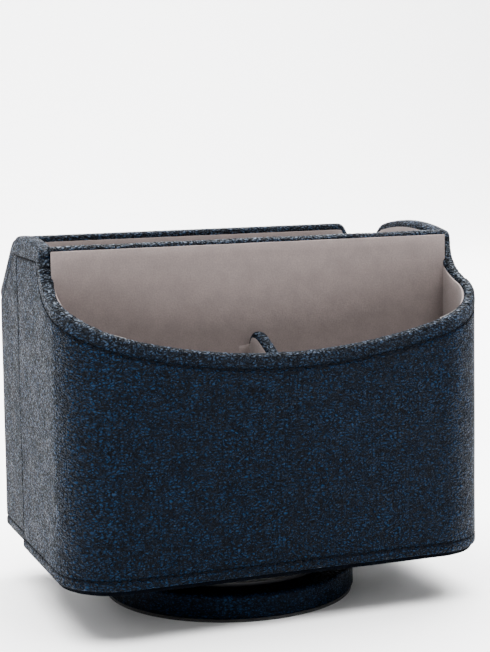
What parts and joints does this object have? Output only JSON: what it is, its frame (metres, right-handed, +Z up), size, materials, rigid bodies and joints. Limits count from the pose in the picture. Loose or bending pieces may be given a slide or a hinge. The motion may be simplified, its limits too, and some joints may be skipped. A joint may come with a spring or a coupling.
{
  "type": "lazy susan organizer",
  "caption": "Leather-covered desk organizer with a tall rear slot and two lower front pockets, turning on a round base.",
  "frame": {"origin": "on the table surface, under the axis that the box turns about", "axes": "+X to the right along the long front, +Y from the front rim to the back wall, +Z up along the turning axis"},
  "size_m": [0.188, 0.1276, 0.1593],
  "materials": {
    "leather": "navy black pebble-grain artificial leather, satin",
    "lining": "taupe grey microsuede",
    "greyboard": "raw grey board",
    "fibreboard": "raw fibreboard",
    "plate_steel": "black coated pressed steel",
    "bright_steel": "bright zinc",
    "retainer_nylon": "natural nylon",
    "pad_rubber": "matt anti-slip foam rubber"
  },
  "bodies": {
    "base": {"base_pad": "pad_rubber", "base_board": "fibreboard", "base_wrap": "leather", "turntable_lower_plate": "plate_steel", "turntable_rivet": "bright_steel", "base_screws": "bright_steel"},
    "ball_ring": {"turntable_retainer": "retainer_nylon", "turntable_balls": "bright_steel"},
    "box": {"back_board": "fibreboard", "bottom_board": "greyboard", "bottom_wrap": "leather", "box_screws": "bright_steel", "divider_binding": "leather", "divider_board": "fibreboard", "divider_lining_left": "lining", "divider_lining_right": "lining", "floor_board": "fibreboard", "front_inner_board": "greyboard", "front_lining": "lining", "front_outer_board": "greyboard", "front_wrap": "leather", "mid_binding": "leather", "mid_board": "fibreboard", "mid_lining_back": "lining", "mid_lining_front": "lining", "pocket_floor_lining_left": "lining", "pocket_floor_lining_right": "lining", "rear_binding": "leather", "rear_wrap": "leather", "side_band_left": "leather", "side_band_right": "leather", "side_board_left": "fibreboard", "side_board_right": "fibreboard", "slot_floor_lining": "lining", "slot_lining_back": "lining", "slot_lining_left": "lining", "slot_lining_right": "lining", "turntable_upper_plate": "plate_steel"}
  },
  "joints": [
    {"name": "swivel", "type": "hinge", "parent": "base", "child": "box", "pos_m": [0, 0, 0.01595], "axis": [0, 0, 1], "continuous": true},
    {"name": "ball_ring_turn", "type": "hinge", "parent": "base", "child": "ball_ring", "pos_m": [0, 0, 0.01595], "axis": [0, 0, 1], "continuous": true}
  ],
  "couplings": [
    {"joint": "ball_ring_turn", "follows": "swivel", "ratio": 0.5}
  ]
}
